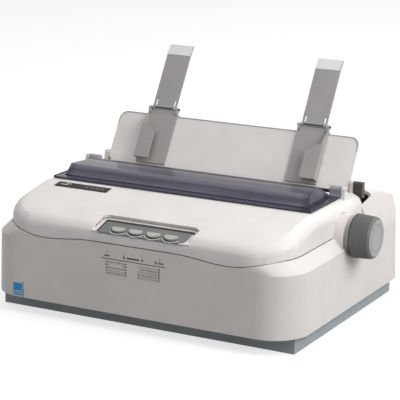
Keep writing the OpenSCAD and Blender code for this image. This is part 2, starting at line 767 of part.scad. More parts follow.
// Needle print head: finned body and a nose that faces the platen
module print_head() color(black) {
    translate([0, 0, platen_z]) {
        span([-13, -60, carriage_top - platen_z], [13, -34, -9]);
        for (i = [0:4]) translate([0, -40 - i * 4.2, 0]) rotate([90, 0, 0])
            cylinder(h = 2.4, r = 15, $fn = 40);
        translate([0, -34, 0]) rotate([90, 0, 0]) cylinder(h = 26, r = 10, $fn = 40);
        span([-4, -36, -8], [4, -19.2, 8]);
    }
}

module ribbon_cartridge() color([0.16, 0.16, 0.17]) {
    difference() {
        span([-138, -112, shelf_z], [138, -78, shelf_z + 13]);
        translate([-60, -95, shelf_z + 11]) cylinder(h = 4, r = 9, $fn = 32);
    }
    // arms that lead the ribbon to the platen, and ears on the side plates
    both() {
        span([138 - eps, -96, shelf_z], [150, -17, shelf_z + 11]);
        span([150 - eps, -90, shelf_z], [frame_x + 3, -78, shelf_z + 3]);
    }
    // winding knob
    translate([-60, -95, shelf_z + 10]) cylinder(h = 4.5, r = 7, $fn = 24);
}

module ribbon() color([0.08, 0.08, 0.1])
    span([-138 + eps, -18.6, shelf_z + 1.5], [138 - eps, -18.2, shelf_z + 9.5]);

// Toothed belt as a flat loop round the two pulleys
module timing_belt() color([0.12, 0.12, 0.13])
    translate([0, belt_y, belt_z]) linear_extrude(belt_h) difference() {
        polygon(concat(arc(pulley_x, 0, pulley_r + belt_t, -90, 90, 16),
                       arc(-pulley_x, 0, pulley_r + belt_t, 90, 270, 16)));
        polygon(concat(arc(pulley_x, 0, pulley_r + 0.05, -90, 90, 16),
                       arc(-pulley_x, 0, pulley_r + 0.05, 90, 270, 16)));
    }

module pulley(bore) {
    difference() {
        union() {
            translate([0, 0, -1.5]) cylinder(h = 1.2, r = pulley_r + 2.4, $fn = 48);
            translate([0, 0, -1.5]) cylinder(h = belt_h + 3, r = pulley_r - 0.2, $fn = 48);
            translate([0, 0, belt_h + 0.3]) cylinder(h = 1.2, r = pulley_r + 2.4, $fn = 48);
        }
        translate([0, 0, -3]) cylinder(h = belt_h + 8, r = bore, $fn = 32);
    }
}

// Pulley with the motor shaft that it is pressed on
module drive_pulley() color([0.85, 0.84, 0.8])
    translate([-pulley_x, belt_y, belt_z]) {
        pulley(drive_shaft_r);
        translate([0, 0, drive_top_z - belt_z - 14]) cylinder(h = belt_z + belt_h + 17 - drive_top_z,
            r = drive_shaft_r, $fn = 32);
    }

module belt_pulley() color([0.85, 0.84, 0.8])
    translate([pulley_x, belt_y, belt_z]) pulley(drive_shaft_r + pin_fit);

module drive_motor() color([0.35, 0.35, 0.37])
    translate([-pulley_x, belt_y, 0]) difference() {
        union() {
            translate([0, 0, frame_z]) cylinder(h = drive_top_z - 2 - frame_z, r = 18, $fn = 48);
            cylinder_at(drive_top_z - 3, 3, 7);
        }
        cylinder_at(drive_top_z - 15, 20, drive_shaft_r + pin_fit);
    }

// Upright cylinder of height h from z
module cylinder_at(z, h, r) translate([0, 0, z]) cylinder(h = h, r = r, $fn = 48);

// Post that carries the far pulley
module belt_stud() color(steel)
    translate([pulley_x, belt_y, 0]) {
        translate([0, 0, frame_z]) cylinder(h = belt_z - 1.5 - run_gap - frame_z, r = 6, $fn = 32);
        cylinder_at(frame_z - floor_t, belt_z + belt_h + 3.5 - frame_z, drive_shaft_r - 0.02);
    }

// Hinged bar over the platen that holds the paper down
module paper_bail() color(steel) {
    x_rod(-164, 164, 2, bail_y, bail_z);
    both() difference() {
        side_profile([[bail_pivot_y, bail_pivot_z - 4], [bail_pivot_y + 4, bail_pivot_z],
                      [bail_pivot_y, bail_pivot_z + 4], [bail_y + 2, bail_z + 4],
                      [bail_y - 4, bail_z + 2], [bail_y - 3, bail_z - 3]], 162.5, 2);
        x_rod(158, 166, 2 + pin_fit, bail_pivot_y, bail_pivot_z);
    }
}

module bail_rollers() color([0.2, 0.2, 0.21])
    for (x = [-95, 0, 95]) difference() {
        x_rod(x - 8, x + 8, bail_roller_r, bail_y, bail_z);
        x_rod(x - 9, x + 9, 2 + pin_fit, bail_y, bail_z);
    }

module bail_pins() color(steel)
    both() x_rod(161, frame_x + frame_t, 1.98, bail_pivot_y, bail_pivot_z);

// Lever beside the tray that frees the paper
module release_lever() color(dark_grey) {
    difference() {
        union() {
            x_rod(frame_x + frame_t + run_gap, lever_x + 7, 6, lever_y, lever_z);
            side_profile([[lever_y - 5, lever_z], [lever_y + 5, lever_z], [lever_y + 3.6, deck_z + 2],
                          [lever_y - 3.6, deck_z + 2]], lever_x + 4.5, 5);
            side_profile([[lever_y - 4, deck_z + 1.5], [lever_y + 4, deck_z + 1.5],
                          [lever_y + 3.4, deck_z + 20], [lever_y + 2, deck_z + 21.5],
                          [lever_y - 3, deck_z + 21.5], [lever_y - 4, deck_z + 20]],
                         lever_x + lever_w / 2, lever_w);
        }
        x_rod(frame_x, lever_x + 12, 3 + pin_fit, lever_y, lever_z);
    }
}

module lever_stud() color(steel)
    x_rod(frame_x, lever_x + 8, 2.98, lever_y, lever_z);

// Curved guide that leads the sheet from the tray down behind the platen
module paper_chute() color([0.2, 0.2, 0.21]) {
    a = -38;
    r1 = platen_r + 6.4;
    r2 = platen_r + 8;
    run = 56;
    side_profile(concat(arc(0, platen_z, r2, -100, a, 10),
        [[r2 * cos(a) - run * sin(a), platen_z + r2 * sin(a) + run * cos(a)],
         [r1 * cos(a) - run * sin(a), platen_z + r1 * sin(a) + run * cos(a)]],
        arc(0, platen_z, r1, a, -100, 10)), 0, frame_x * 2);
}

// ---------- paper tray, guides and arms ----------

// Local frame of the tray: X along the width, Z up along its panel, Y out of its rear
module on_tray() translate([0, tray_y, tray_z]) rotate([-tray_lean, 0, 0]) children();

module paper_tray() color([0.92, 0.91, 0.9])
    on_tray() {
        translate([0, tray_t / 2, 0]) rotate([90, 0, 0]) linear_extrude(tray_t)
            polygon(concat([[-tray_w / 2, -6], [tray_w / 2, -6]],
                arc(tray_w / 2 - 11, tray_len - 11, 11, 0, 90, 8),
                arc(-tray_w / 2 + 11, tray_len - 11, 11, 90, 180, 8)));
        // stiffening ribs on the rear
        for (i = [-2:2]) translate([i * 28 - 1, tray_t / 2 - eps, 4]) cube([2, 1.6, tray_len - 12]);
        both() x_rod(tray_w / 2 - 1, slot_hw + lug_w - 1.5, pin_r + 0.7, 0, 0);
    }

// Channel-shaped guide hooked over the top and bottom edges of the tray
module guide() {
    hook_y = tray_t / 2 + run_gap;
    face_y = -hook_y - guide_t;
    lip_y = face_y - guide_depth;
    top = tray_len + run_gap + 5;
    inner = guide_x - guide_w;
    on_tray() difference() {
        union() {
            // back panel with the two hooks
            translate([inner, 0, 0]) rotate([90, 0, 90]) linear_extrude(guide_w)
                polygon([[face_y, -6 - run_gap - 1.6], [hook_y + 1.6, -6 - run_gap - 1.6],
                         [hook_y + 1.6, -2], [hook_y, -2], [hook_y, -6 - run_gap],
                         [-hook_y, -6 - run_gap], [-hook_y, tray_len + run_gap],
                         [hook_y, tray_len + run_gap], [hook_y, tray_len - 5],
                         [hook_y + 1.6, tray_len - 5], [hook_y + 1.6, tray_len + run_gap + 2],
                         [-hook_y, tray_len + run_gap + 2], [-hook_y, top], [face_y, top]]);
            // outer side wall with its sloping top edge
            translate([guide_x - guide_t, 0, 0]) rotate([90, 0, 90]) linear_extrude(guide_t)
                polygon([[face_y + eps, -4], [lip_y, -4], [lip_y, tray_len - 15], [face_y + eps, top - 1]]);
            // front lip turned inwards
            translate([0, lip_y + guide_t, 0]) rotate([90, 0, 0]) linear_extrude(guide_t)
                polygon([[guide_x, -4], [guide_x, tray_len - 15], [guide_x - 13, tray_len - 21],
                         [guide_x - 18.5, tray_len - 24.5], [guide_x - 20, tray_len - 28], [guide_x - 20, -4]]);
            // hinge knuckles at the top
            for (x = [[inner, inner + 3.4], [inner + arm_w + 4.2, guide_x]])
                translate([x[0], 0, 0]) rotate([90, 0, 90]) linear_extrude(x[1] - x[0])
                    polygon([[face_y, top - 6], [-hook_y, top - 6], [-hook_y, arm_hinge],
                             [arm_y + barrel_r, arm_hinge], [arm_y, arm_hinge + barrel_r],
                             [arm_y - barrel_r, arm_hinge], [face_y - 2, arm_hinge - 6]]);
        }
        x_rod(inner - 5, guide_x + 5, pin_r - 0.02, arm_y, arm_hinge, 24);
        // clearance for the turning barrel of the arm
        x_rod(inner + 3.4, inner + arm_w + 4.2, barrel_r + run_gap, arm_y, arm_hinge, 32);
    }
}

module guide_right() color(mid_grey) guide();
module guide_left() color(mid_grey) mirror([1, 0, 0]) guide();

// Arm with two slots by its hinge and a tip bent to the rear
module arm() {
    x0 = guide_x - guide_w + 3.8;
    on_tray() translate([0, arm_y, arm_hinge]) difference() {
        union() {
            x_rod(x0, x0 + arm_w, barrel_r, 0, 0);
            span([x0, -arm_t / 2, 0], [x0 + arm_w, arm_t / 2, arm_len]);
            translate([0, 0, arm_len]) rotate([-6.6, 0, 0])
                span([x0, -arm_t / 2, -0.3], [x0 + arm_w, arm_t / 2, tip_len]);
        }
        x_rod(x0 - 1, x0 + arm_w + 1, pin_r + pin_fit, 0, 0, 24);
        for (x = [x0 + 2.4, x0 + arm_w - 4.9])
            span([x, -5, 3.6], [x + 2.5, 5, 11.6]);
    }
}

module arm_right() color(mid_grey) arm();
module arm_left() color(mid_grey) mirror([1, 0, 0]) arm();

module arm_pin() {
    inner = guide_x - guide_w;
    on_tray() x_rod(inner - 1.5, guide_x + 1.5, pin_r - 0.02, arm_y, arm_hinge, 24);
}
module arm_pin_right() color(black) arm_pin();
module arm_pin_left() color(black) mirror([1, 0, 0]) arm_pin();

// ---------- electronics ----------

module main_board() color([0.12, 0.42, 0.28]) {
    span([10, 84, pan_floor + 5], [150, 128, pan_floor + 6.6]);
    for (x = [18, 142], y = [90, 122]) translate([x, y, pan_floor]) cylinder(h = 5.1, r = 3, $fn = 24);
    for (x = [40, 75, 110]) span([x, 94, pan_floor + 6.5], [x + 22, 112, pan_floor + 10]);
}

module transformer() color([0.4, 0.36, 0.3]) {
    span([-128, 84, pan_floor], [-76, 122, pan_floor + 46]);
    span([-135, 90, pan_floor], [-69, 116, pan_floor + 3]);
}

module inlet_space(g) span([-172 - g, rear_y - 30, 26 - g], [-144 + g, rear_y + 2, 46 + g]);
module switch_space(g) span([-136 - g, rear_y - 14, 28 - g], [-116 + g, rear_y + 2, 42 + g]);
module port_space(g) span([60 - g, rear_y - 12, 26 - g], [128 + g, rear_y + 2, 44 + g]);

// Mains inlet with its three blades
module power_inlet() color(black) {
    difference() {
        union() {
            span([-172, rear_y - 26, 26], [-144, rear_y - 0.6, 46]);
            span([-175, rear_y - 9, 23], [-141, rear_y - wall - 0.45 * draft, 49]);
        }
        span([-169, rear_y - 20, 29], [-147, rear_y + 1, 43]);
    }
    for (p = [[-163, 34], [-153, 34], [-158, 38]])
        span([p[0] - 0.8, rear_y - 21, p[1] - 2.4], [p[0] + 0.8, rear_y - 6, p[1] + 2.4]);
}

// Housing of the mains switch, open to the rear for its rocker
module power_switch() color(black)
    difference() {
        span([-136, rear_y - 14, 28], [-116, rear_y - 1.8, 42]);
        span([-134, rear_y - 10, 29.5], [-118, rear_y, 40.5]);
        x_rod(-135.5, -116.5, rocker_pin_r + pin_fit, rocker_y, rocker_z);
    }

// Rocker of the mains switch, with its two pivot pins
module power_rocker() color([0.2, 0.2, 0.21])
    translate([0, rocker_y, rocker_z]) rotate([rocker_tilt, 0, 0]) {
        side_profile([[-2.4, -2.2], [2.6, -4.7], [4.6, -4.4], [3, 0], [4.6, 4.4], [2.6, 4.7], [-2.4, 2.2]],
                     -126, 15.4);
        x_rod(-135.2, -116.8, rocker_pin_r, 0, 0);
    }

// Data connector with its shell
module data_port() color(steel)
    difference() {
        span([60, rear_y - 12, 26], [128, rear_y - 1, 44]);
        span([66, rear_y - 8, 30], [122, rear_y + 1, 40]);
    }

// ---------- output ----------

lower_case();
base_pan();
rubber_feet();
case_screws();
top_cover();
smoked_cover();
mirror([1, 0, 0]) lid_pin();  // lid_pin_left
lid_pin();  // lid_pin_right
nameplate();
front_label();
panel_plate();
panel_board();
button(1);  // button_1
button(2);  // button_2
button(3);  // button_3
button(4);  // button_4
frame_left();
frame_right();
frame_floor();
platen_shaft();
platen_roller();
platen_knob();
platen_gear();
platen_bushes();
idler_gear();
idler_stud();
feed_motor();
feed_pinion();
carriage_rod();
guide_rail();
carriage();
print_head();
ribbon_cartridge();
ribbon();
timing_belt();
drive_motor();
drive_pulley();
belt_pulley();
belt_stud();
paper_bail();
bail_rollers();
bail_pins();
release_lever();
lever_stud();
paper_chute();
paper_tray();
guide_left();
guide_right();
arm_left();
arm_right();
arm_pin_left();
arm_pin_right();
main_board();
transformer();
power_inlet();
power_switch();
power_rocker();
data_port();
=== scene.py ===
"""Looks for a desktop dot matrix printer: materials, small parts, light and camera.

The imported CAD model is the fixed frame, in metres: X is the printing width, +Y points to
the rear and +Z is up. Small parts are written in millimetres and scaled by MM when made.
"""
import math

import bmesh
import bpy
from mathutils import Matrix, Vector


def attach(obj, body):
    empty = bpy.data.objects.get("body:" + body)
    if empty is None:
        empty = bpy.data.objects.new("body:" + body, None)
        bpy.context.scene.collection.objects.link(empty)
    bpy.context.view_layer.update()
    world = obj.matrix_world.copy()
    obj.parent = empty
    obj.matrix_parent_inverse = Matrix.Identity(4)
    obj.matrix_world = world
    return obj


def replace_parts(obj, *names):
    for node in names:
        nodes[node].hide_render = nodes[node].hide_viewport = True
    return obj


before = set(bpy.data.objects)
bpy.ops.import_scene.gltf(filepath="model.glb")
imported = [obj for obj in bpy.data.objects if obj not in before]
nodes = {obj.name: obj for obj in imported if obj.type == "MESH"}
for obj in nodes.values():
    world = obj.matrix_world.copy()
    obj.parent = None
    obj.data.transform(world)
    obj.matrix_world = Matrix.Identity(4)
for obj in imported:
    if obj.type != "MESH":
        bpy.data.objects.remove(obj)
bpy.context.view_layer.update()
MM = 0.001


# ---------- materials ----------

# Noise scales, in cells per metre.
PATCHES, GLOSS_PATCHES, WEAR_PATCHES = 22, 60, 160
FLOW, SCRATCHES = 130, 700

# How a pattern is drawn out along each axis.
BRUSHED = (0.06, 1.0, 1.0)
LAMINATED = (8.0, 0.02, 0.02)
FLOWING = (0.05, 1.0, 1.0)
SCRATCHED = (0.02, 1.0, 1.0)

# Radii in mm within which a normal is rounded.
ROUND_EDGE, WORN_EDGE, COVER_EDGE = 0.35, 0.5, 0.6

# Depth of the bumps, in metres.
GRAIN_DEPTH, FLOW_DEPTH = 0.0004, 0.0003

# Part of the colour that is left in a streak.
STREAK_SHADE = 0.45

# Bands along the smoked cover, as (place, colour) from its front to its rear edge.
COVER_FRONT, COVER_REAR = -0.060, 0.030
# The pale bands at 0.17 and 0.26 are painted highlights on the cover's front bends, and the one at
# 0.60 is a painted reflection on its top.
COVER_TINT_AND_HIGHLIGHTS = (
    (0.00, (104, 102, 124)), (0.14, (70, 68, 88)), (0.17, (132, 130, 148)),
    (0.22, (84, 82, 104)), (0.26, (150, 148, 160)), (0.30, (78, 76, 98)),
    (0.46, (96, 94, 112)), (0.60, (146, 145, 152)), (0.66, (70, 68, 86)),
    (1.00, (80, 78, 96)),
)
COVER_WAVE = 0.006                                  # metres that the flow shifts a band
COVER_ENDS = (0.150, 0.160)                         # |X| over which the ends turn dark
LUGS_X, LUGS_Y = (0.155, 0.157), (0.0205, 0.022)    # where the paler hinge lugs begin


def srgb(r, g, b, a=1.0):
    """Linear colour from 0-255 display values."""
    def lin(c):
        c /= 255
        return c / 12.92 if c <= 0.04045 else ((c + 0.055) / 1.055) ** 2.4
    return (lin(r), lin(g), lin(b), a)


def shade(colour, factor):
    return tuple(min(1.0, c * factor) for c in colour[:3]) + (1.0,)


class Nodes:
    """Small helper to write a node tree."""

    def __init__(self, name):
        self.mat = bpy.data.materials.new(name)
        self.mat.use_nodes = True
        self.tree = self.mat.node_tree
        self.tree.nodes.clear()
        self.out = self.add("ShaderNodeOutputMaterial")

    def add(self, kind, props=None, **inputs):
        node = self.tree.nodes.new(kind)
        for key, value in (props or {}).items():
            setattr(node, key, value)
        for key, value in inputs.items():
            self.put(node, key.replace("_", " "), value)
        return node

    def put(self, node, key, value):
        socket = node.inputs[int(key)] if key.isdigit() else node.inputs[key]
        if isinstance(value, bpy.types.NodeSocket):
            self.tree.links.new(value, socket)
        else:
            socket.default_value = value

    def coords(self):
        return self.add("ShaderNodeTexCoord").outputs["Object"]

    def drawn_out(self, coords, scale):
        return self.add("ShaderNodeMapping", Vector=coords, Scale=scale).outputs[0]

    def noise(self, coords, scale, detail=2.0, rough=0.5):
        return self.add("ShaderNodeTexNoise", Vector=coords, Scale=scale, Detail=detail,
                        Roughness=rough).outputs["Fac"]

    def remap(self, value, to_low, to_high, low=0.3, high=0.7):
        node = self.add("ShaderNodeMapRange")
        for i, v in enumerate((value, low, high, to_low, to_high)):
            self.put(node, str(i), v)
        return node.outputs[0]

    def mix(self, fac, a, b):
        node = self.add("ShaderNodeMix", {"data_type": "RGBA"})
        for i, v in ((0, fac), (6, a), (7, b)):
            self.put(node, str(i), v)
        return node.outputs[2]

    def math(self, op, a, b=0.0):
        node = self.add("ShaderNodeMath", {"operation": op})
        for i, v in enumerate((a, b)):
            self.put(node, str(i), v)
        return node.outputs[0]

    def rounded(self, radius):
        """Normal that is rounded over the edges, by a radius in mm."""
        return self.add("ShaderNodeBevel", {"samples": 3}, Radius=radius * MM).outputs[0]

    def finish(self, shown, tint, **sockets):
        """Close the tree with one shader; shown is the colour of the plain viewport."""
        bsdf = self.add("ShaderNodeBsdfPrincipled", **sockets)
        self.put(bsdf, "Base Color", tint)
        self.put(self.out, "Surface", bsdf.outputs[0])
        self.mat.diffuse_color = shown
        return self.mat


def surface(name, colour, rough=0.5, grain=1400, bump=0.12, mottle=0.04, edge=0.0,
            stretch=None, streak=0.0, **sockets):
    """Moulded or painted surface: mottled colour, fine grain, uneven gloss and worn edges."""
    n = Nodes(name)
    coords = n.coords()
    patches = n.noise(coords, PATCHES, 3.0)
    grains = n.noise(n.drawn_out(coords, stretch) if stretch else coords, grain, 2.0, 0.6)
    tint = n.mix(n.remap(patches, 0.0, 1.0), shade(colour, 1 - mottle), shade(colour, 1 + mottle))
    if streak:
        tint = n.mix(n.remap(grains, 0.0, streak), tint, shade(colour, STREAK_SHADE))
    if edge:
        bend = n.add("ShaderNodeVectorMath", {"operation": "DOT_PRODUCT"})
        n.put(bend, "0", n.rounded(WORN_EDGE))
        n.put(bend, "1", n.add("ShaderNodeNewGeometry").outputs["Normal"])
        turned = n.remap(n.math("SUBTRACT", 1.0, bend.outputs["Value"]), 0.0, 1.0, 0.01, 0.2)
        patchy = n.remap(n.noise(coords, WEAR_PATCHES, 3.0), 0.0, 1.0, 0.35, 0.65)
        tint = n.mix(n.math("MULTIPLY", turned, patchy), tint, shade(colour, 1 + edge))
    bumps = n.add("ShaderNodeBump", Strength=bump, Distance=GRAIN_DEPTH, Height=grains,
                  Normal=n.rounded(ROUND_EDGE))
    gloss = n.remap(n.noise(coords, GLOSS_PATCHES, 4.0), rough - 0.05, rough + 0.07)
    return n.finish(colour, tint, Roughness=gloss, Normal=bumps.outputs[0], **sockets)


def smoked(name):
    """Smoked clear plastic: lilac-grey tint along the cover with painted highlights and a painted
    reflection in its paler bands, flow streaks and fine scratches.
    """
    n = Nodes(name)
    coords = n.coords()
    flow = n.noise(n.drawn_out(coords, FLOWING), FLOW, 4.0, 0.65)
    scratches = n.noise(n.drawn_out(coords, SCRATCHED), SCRATCHES)
    spot = n.add("ShaderNodeSeparateXYZ", Vector=coords)
    off_middle, depth = n.math("ABSOLUTE", spot.outputs["X"]), spot.outputs["Y"]
    shift = n.math("MULTIPLY", n.math("SUBTRACT", flow, 0.5), COVER_WAVE)
    # The ramp lays the cover's tint and its painted highlights along Y.
    ramp = n.add("ShaderNodeValToRGB")
    n.put(ramp, "0", n.remap(n.math("ADD", depth, shift), 0.0, 1.0, COVER_FRONT, COVER_REAR))
    bands = ramp.color_ramp.elements
    for band, (place, colour) in zip(bands, (COVER_TINT_AND_HIGHLIGHTS[0], COVER_TINT_AND_HIGHLIGHTS[-1])):
        band.position, band.color = place, srgb(*colour)
    for place, colour in COVER_TINT_AND_HIGHLIGHTS[1:-1]:
        bands.new(place).color = srgb(*colour)
    tint = n.mix(n.remap(flow, 0.0, 0.5), ramp.outputs["Color"], srgb(52, 50, 68))
    tint = n.mix(n.remap(off_middle, 0.0, 0.8, *COVER_ENDS), tint, srgb(44, 41, 60))
    lug = n.math("MULTIPLY", n.remap(off_middle, 0.0, 1.0, *LUGS_X),
                 n.remap(depth, 0.0, 1.0, *LUGS_Y))
    tint = n.mix(lug, tint, srgb(176, 174, 184))
    bumps = n.add("ShaderNodeBump", Strength=0.12, Distance=FLOW_DEPTH, Height=flow,
                  Normal=n.rounded(COVER_EDGE))
    return n.finish(srgb(70, 68, 86, 0.7), tint, Roughness=n.remap(scratches, 0.08, 0.22),
                    Normal=bumps.outputs[0], Alpha=0.8, IOR=1.49)


# Each line gives name, colour, roughness, grain in cells per metre, bump and mottle.
MATERIALS = {
    "housing_grey": surface("housing_plastic", srgb(226, 221, 218), 0.48, edge=0.05),
    "cover_white": surface("cover_plastic", srgb(232, 228, 226), 0.45, edge=0.04),
    "base_dark": surface("base_plastic", srgb(158, 166, 170), 0.55, 900, 0.2, 0.05, edge=0.15),
    "foot_rubber": surface("foot_rubber", srgb(44, 44, 44), 0.85, 700, 0.4, 0.1),
    "steel": surface("bright_steel", srgb(176, 178, 182), 0.32, 500, 0.05, 0.05,
                     stretch=BRUSHED, Metallic=1.0),
    "smoked_plastic": smoked("smoked_plastic"),
    "name_plate_dark": surface("name_plate", srgb(50, 52, 48), 0.6, 600, 0.05, 0.08, edge=0.5,
                               Specular_IOR_Level=0.15),
    "label_blue": surface("label_film", srgb(36, 146, 208), 0.5, 500, 0.06, 0.05),
    "panel_grey": surface("panel_film", srgb(116, 119, 115), 0.6, 1600, 0.25, 0.06, streak=0.2),
    "circuit_green": surface("circuit_board", srgb(38, 104, 66), 0.4, 300, 0.2, 0.15,
                             streak=0.5),
    "button_white": surface("button_plastic", srgb(178, 178, 174), 0.45, edge=0.3),
    "platen_rubber": surface("platen_rubber", srgb(46, 46, 48), 0.75, 900, 0.3, 0.1,
                             stretch=(1.0, 0.3, 0.3)),
    "knob_grey": surface("knob_plastic", srgb(108, 108, 106), 0.55, 900, 0.3, 0.08, edge=0.3),
    "gear_white": surface("gear_plastic", srgb(222, 218, 202), 0.4, edge=0.05),
    "motor_dark": surface("motor_can", srgb(78, 78, 84), 0.45, 400, 0.1, 0.08, Metallic=0.6),
    "carriage_black": surface("carriage_plastic", srgb(44, 44, 47), 0.5, edge=0.6),
    "ribbon_ink": surface("ribbon_fabric", srgb(26, 26, 32), 0.9, 2600, 0.6, 0.15),
    "belt_rubber": surface("belt_rubber", srgb(38, 38, 41), 0.8, 1200, 0.4, 0.1),
    "lever_dark": surface("lever_plastic", srgb(62, 64, 60), 0.5, edge=0.4),
    "tray_white": surface("tray_plastic", srgb(238, 234, 232), 0.45, edge=0.03),
    "guide_grey": surface("guide_plastic", srgb(168, 165, 163), 0.5, edge=0.12),
    "pin_black": surface("pin_plastic", srgb(30, 30, 30), 0.5),
    "transformer_core": surface("core_laminate", srgb(112, 102, 88), 0.5, 900, 0.6, 0.1,
                                stretch=LAMINATED, streak=0.4, Metallic=0.5),
    "socket_black": surface("socket_plastic", srgb(34, 34, 36), 0.45, edge=0.4),
    "port_steel": surface("port_plating", srgb(184, 184, 188), 0.3, 700, 0.05, 0.04,
                          Metallic=1.0),
    "print_dark": surface("legend_ink", srgb(70, 64, 66), 0.6, 2600, 0.05, 0.12),
    "print_pale": surface("legend_tint", srgb(160, 154, 152), 0.6, 2600, 0.05, 0.1),
    "knob_face": surface("knob_cap", srgb(164, 164, 163), 0.45, 1200, 0.15, 0.05, edge=0.1),
    "pad_white": surface("pad_plastic", srgb(240, 238, 237), 0.5, 1200, 0.2, 0.03),
    "tray_edge": surface("tray_rim", srgb(176, 172, 170), 0.5, 1200, 0.1, 0.04),
}


# ---------- looks of the CAD nodes ----------

SMOOTH_BELOW = 24       # degrees between two faces that are shaded as one
ROUND_ABOVE = 40        # degrees between two faces whose edge is rounded
WELD = 2e-6             # metres between points that are joined


def smooth_group():
    """Geometry nodes that join the faces of a mesh and smooth its flat edges."""
    tree = bpy.data.node_groups.new("smooth_joins", "GeometryNodeTree")
    for way in ("INPUT", "OUTPUT"):
        tree.interface.new_socket("Geometry", in_out=way, socket_type="NodeSocketGeometry")
    new, link = tree.nodes.new, tree.links.new
    enter, leave = new("NodeGroupInput"), new("NodeGroupOutput")
    merge = new("GeometryNodeMergeByDistance")
    merge.inputs["Distance"].default_value = WELD
    faces = new("GeometryNodeSetShadeSmooth")
    edges = new("GeometryNodeSetShadeSmooth")
    edges.domain = "EDGE"
    bend = new("GeometryNodeInputMeshEdgeAngle")
    below = new("FunctionNodeCompare")
    below.operation = "LESS_THAN"
    below.inputs[1].default_value = math.radians(SMOOTH_BELOW)
    link(enter.outputs[0], merge.inputs["Geometry"])
    link(merge.outputs[0], faces.inputs["Geometry"])
    link(faces.outputs[0], edges.inputs["Geometry"])
    link(bend.outputs[0], below.inputs[0])
    link(below.outputs[0], edges.inputs["Shade Smooth"])
    link(edges.outputs[0], leave.inputs[0])
    return tree


SMOOTH = smooth_group()


def dress(obj, look):
    """Give an object its material and its smooth shading."""
    obj.data.materials.clear()
    obj.data.materials.append(MATERIALS[look])
    obj.modifiers.new("joins", "NODES").node_group = SMOOTH
    obj.modifiers.new("weights", "WEIGHTED_NORMAL").keep_sharp = True


for name, node in nodes.items():
    old = node.data.materials[0].name if node.data.materials else ""
    slot = next((s for s in MATERIALS if old.startswith(s)), None)
    if slot is None:
        raise SystemExit(f"no slot for {name}: {old}")
    dress(node, slot)


# ---------- outlines, solids and places ----------

def arc(cx, cy, r, start, end, steps):
    """Points on an arc, from one angle in degrees to another."""
    angles = [math.radians(start + (end - start) * i / steps) for i in range(steps + 1)]
    return [(cx + r * math.cos(a), cy + r * math.sin(a)) for a in angles]


def round_box(x0, y0, x1, y1, r):
    """Rounded rectangle; r is one radius or four, from lower left counterclockwise."""
    a, b, c, d = r if isinstance(r, tuple) else (r,) * 4
    return (arc(x0 + a, y0 + a, a, 180, 270, 5) + arc(x1 - b, y0 + b, b, 270, 360, 5)
            + arc(x1 - c, y1 - c, c, 0, 90, 5) + arc(x0 + d, y1 - d, d, 90, 180, 5))


def at(x, y, z, turn_x=0.0):
    """Place in mm, turned about X by an angle in degrees."""
    turn = Matrix.Rotation(math.radians(turn_x), 4, "X")
    return Matrix.Translation((x * MM, y * MM, z * MM)) @ turn


ON_PANEL = at(9, -149, 117.2, 17)       # on the face of the button panel, Z out of it
ON_TRAY = at(0, 64, 149, -30.7)         # at the foot of the paper tray, Z up along it
UPRIGHT = Matrix.Rotation(math.radians(90), 4, "X")     # an outline in X and Z
ALONG_X = Matrix.Rotation(math.radians(90), 4, "Y")     # a lathe's axis along X
SIDEWAYS = Matrix(((0, 0, 1, 0), (1, 0, 0, 0),          # an outline in Y and Z
                   (0, 1, 0, 0), (0, 0, 0, 1)))


def add_piece(name, mesh, look, body, bevel=0.0):
    obj = bpy.data.objects.new(name, mesh)
    bpy.context.scene.collection.objects.link(obj)
    if bevel:
        mod = obj.modifiers.new("edge", "BEVEL")
        mod.width, mod.segments, mod.limit_method = bevel * MM, 2, "ANGLE"
        mod.angle_limit = math.radians(ROUND_ABOVE)
    dress(obj, look)
    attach(obj, body)
    return obj


def mesh_of(name, bm):
    mesh = bpy.data.meshes.new(name)
    bm.to_mesh(mesh)
    bm.free()
    return mesh


def sheet(name, loops, z0, z1, place, look, body, bevel=0.0):
    """Flat solid from closed outlines in mm; inner outlines become openings."""
    curve = bpy.data.curves.new(name + "_outline", "CURVE")
    curve.dimensions, curve.fill_mode = "2D", "BOTH"
    curve.extrude = (z1 - z0) / 2 * MM
    for loop in loops:
        spline = curve.splines.new("POLY")
        spline.points.add(len(loop) - 1)
        for point, (x, y) in zip(spline.points, loop):
            point.co = (x * MM, y * MM, 0, 1)
        spline.use_cyclic_u = True
    temp = bpy.data.objects.new(name + "_temp", curve)
    bpy.context.scene.collection.objects.link(temp)
    bpy.context.view_layer.update()
    deps = bpy.context.evaluated_depsgraph_get()
    mesh = bpy.data.meshes.new_from_object(temp.evaluated_get(deps))
    bpy.data.objects.remove(temp)
    mesh.transform(place @ at(0, 0, (z0 + z1) / 2))
    return add_piece(name, mesh, look, body, bevel)


def boxes(name, items, look, body, place=Matrix(), bevel=0.0):
    """One mesh of many boxes, each given by its two corners in mm."""
    bm = bmesh.new()
    for lo, hi in items:
        size = [(b - a) * MM for a, b in zip(lo, hi)]
        mid = at(*((a + b) / 2 for a, b in zip(lo, hi)))
        bmesh.ops.create_cube(bm, size=1, matrix=mid @ Matrix.Diagonal(size + [1]))
    bm.transform(place)
    return add_piece(name, mesh_of(name, bm), look, body, bevel)


def lathe(name, profile, place, look, body, steps=96, groove=0.0):
    """Revolve (radius, height) points in mm about Z; a point with a third value is ribbed."""
    bm = bmesh.new()
    rings = []
    for r, z, *ribbed in profile:
        ring = []
        for i in range(steps):
            turn = 2 * math.pi * i / steps
            q = (r - groove if ribbed and i % 2 else r) * MM
            ring.append(bm.verts.new((q * math.cos(turn), q * math.sin(turn), z * MM)))
        rings.append(ring)
    for low, high in zip(rings, rings[1:]):
        for i in range(steps):
            j = (i + 1) % steps
            bm.faces.new((low[i], low[j], high[j], high[i]))
    bm.faces.new(list(reversed(rings[0])))
    bm.faces.new(rings[-1])
    bm.transform(place)
    return add_piece(name, mesh_of(name, bm), look, body)


# ---------- small parts ----------

